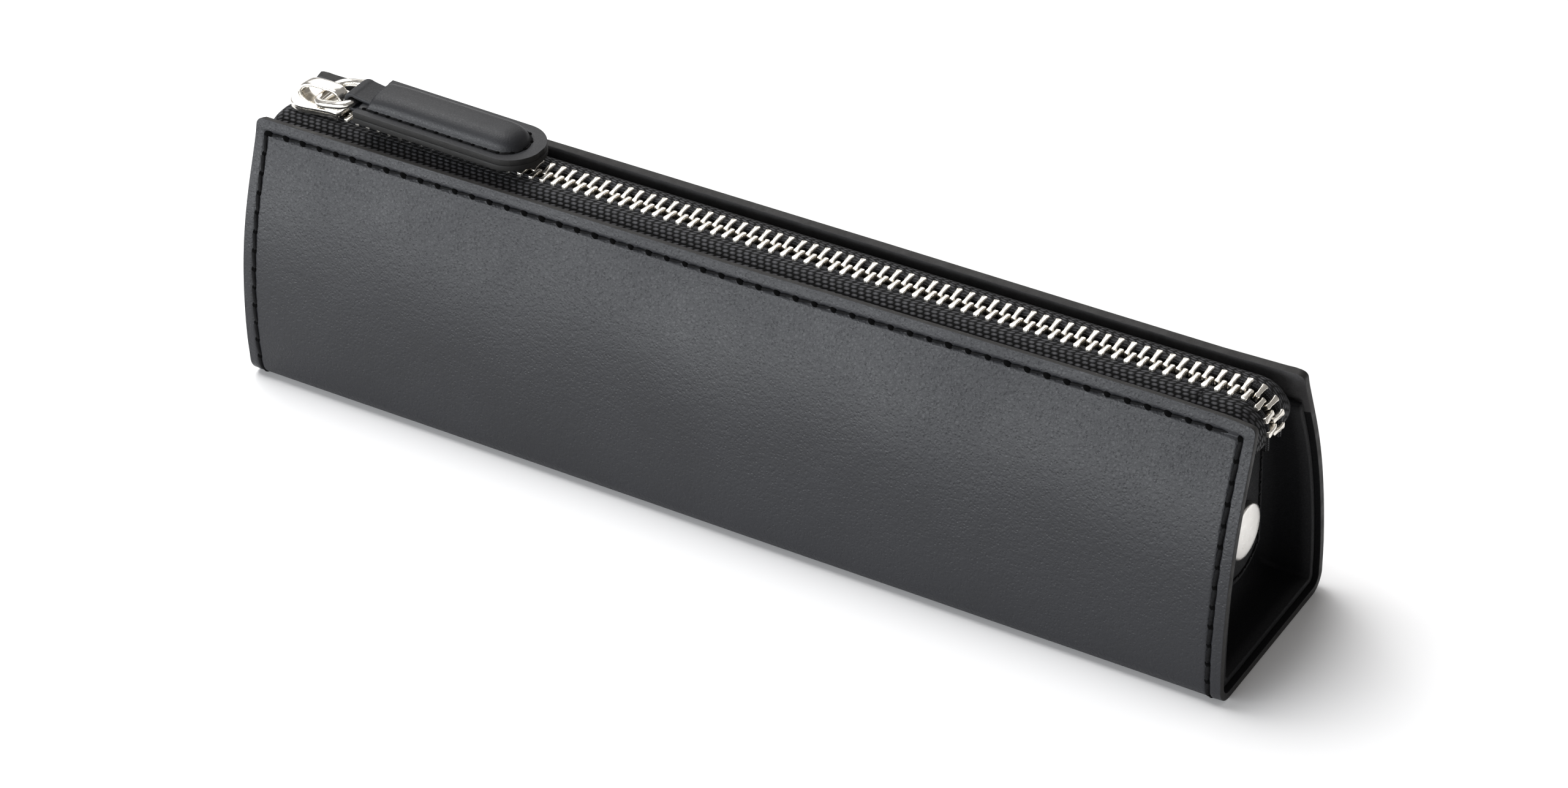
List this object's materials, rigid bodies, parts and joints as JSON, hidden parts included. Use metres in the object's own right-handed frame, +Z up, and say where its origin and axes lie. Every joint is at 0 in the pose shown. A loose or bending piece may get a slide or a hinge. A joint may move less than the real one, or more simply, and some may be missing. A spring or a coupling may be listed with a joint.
{
  "type": "fountain pen case",
  "caption": "Leather pen case folded from one sheet, with recessed end gussets, a metal zip with a padded leather puller along the top, and a snap tab at one end.",
  "frame": {"origin": "centre of the case's length and width, on the face of the base that it stands on", "axes": "+X along the case, from the end where the slider is parked when closed towards the end with the snap tab; +Z up; the front panel faces -Y"},
  "size_m": [0.2, 0.0384, 0.0581],
  "materials": {
    "leather": "smooth black cowhide with a fine grain",
    "lining": "matte suede",
    "tape": "ribbed woven zip tape",
    "thread": "waxed black thread",
    "nickel": "polished nickel",
    "filler": "soft foam"
  },
  "bodies": {
    "root": {"shell_leather": "leather", "lining": "lining", "front_top_stitching": "thread", "rear_top_stitching": "thread", "left_end_stitching": "thread", "right_end_stitching": "thread", "left_gusset": "leather", "right_gusset": "leather", "front_tape_margin": "tape", "rear_tape_margin": "tape", "front_tape_end": "tape", "rear_tape_end": "tape", "front_end_teeth": "nickel", "rear_end_teeth": "nickel", "snap_stud": "nickel", "snap_eyelet": "nickel"},
    "front_zip_half": {"front_tape_web": "tape", "front_teeth": "nickel", "front_top_stop": "nickel"},
    "rear_zip_half": {"rear_tape_web": "tape", "rear_teeth": "nickel", "rear_top_stop": "nickel"},
    "slider": {"slider_body": "nickel"},
    "pull_link": {"pull_ring": "nickel"},
    "puller": {"pull_strap": "leather", "puller_top_leather": "leather", "puller_bottom_leather": "leather", "puller_filler": "filler", "puller_stitching": "thread"},
    "end_tab": {"tab_leather": "leather", "tab_stitching": "thread", "snap_cap": "nickel", "snap_socket": "nickel"}
  },
  "joints": [
    {"name": "slider_travel", "type": "slide", "parent": "root", "child": "slider", "axis": [1, 0, 0], "range_m": [0, 0.165], "deforming": ["front_tape_web", "front_teeth", "front_top_stop", "rear_tape_web", "rear_teeth", "rear_top_stop"]},
    {"name": "front_zip_fold", "type": "hinge", "parent": "root", "child": "front_zip_half", "pos_m": [0, -0.0075, 0.0466], "axis": [1, 0, 0], "range_deg": [0, 60]},
    {"name": "rear_zip_fold", "type": "hinge", "parent": "root", "child": "rear_zip_half", "pos_m": [0, 0.0075, 0.0466], "axis": [-1, 0, 0], "range_deg": [0, 60]},
    {"name": "pull_link_swing", "type": "hinge", "parent": "slider", "child": "pull_link", "pos_m": [-0.0909, 0, 0.0532], "axis": [0, -1, 0], "range_deg": [0, 120]},
    {"name": "puller_swing", "type": "hinge", "parent": "pull_link", "child": "puller", "pos_m": [-0.0829, 0, 0.0548], "axis": [0, -1, 0], "range_deg": [0, 90]},
    {"name": "end_tab_swing", "type": "hinge", "parent": "root", "child": "end_tab", "pos_m": [0.0935, 0, 0.0405], "axis": [0, -1, 0], "range_deg": [0, 75], "deforming": ["front_tape_end", "rear_tape_end"]}
  ],
  "couplings": [
    {"joint": "front_zip_fold", "follows": "slider_travel", "rad_per_m": 6.3},
    {"joint": "rear_zip_fold", "follows": "slider_travel", "rad_per_m": 6.3}
  ]
}
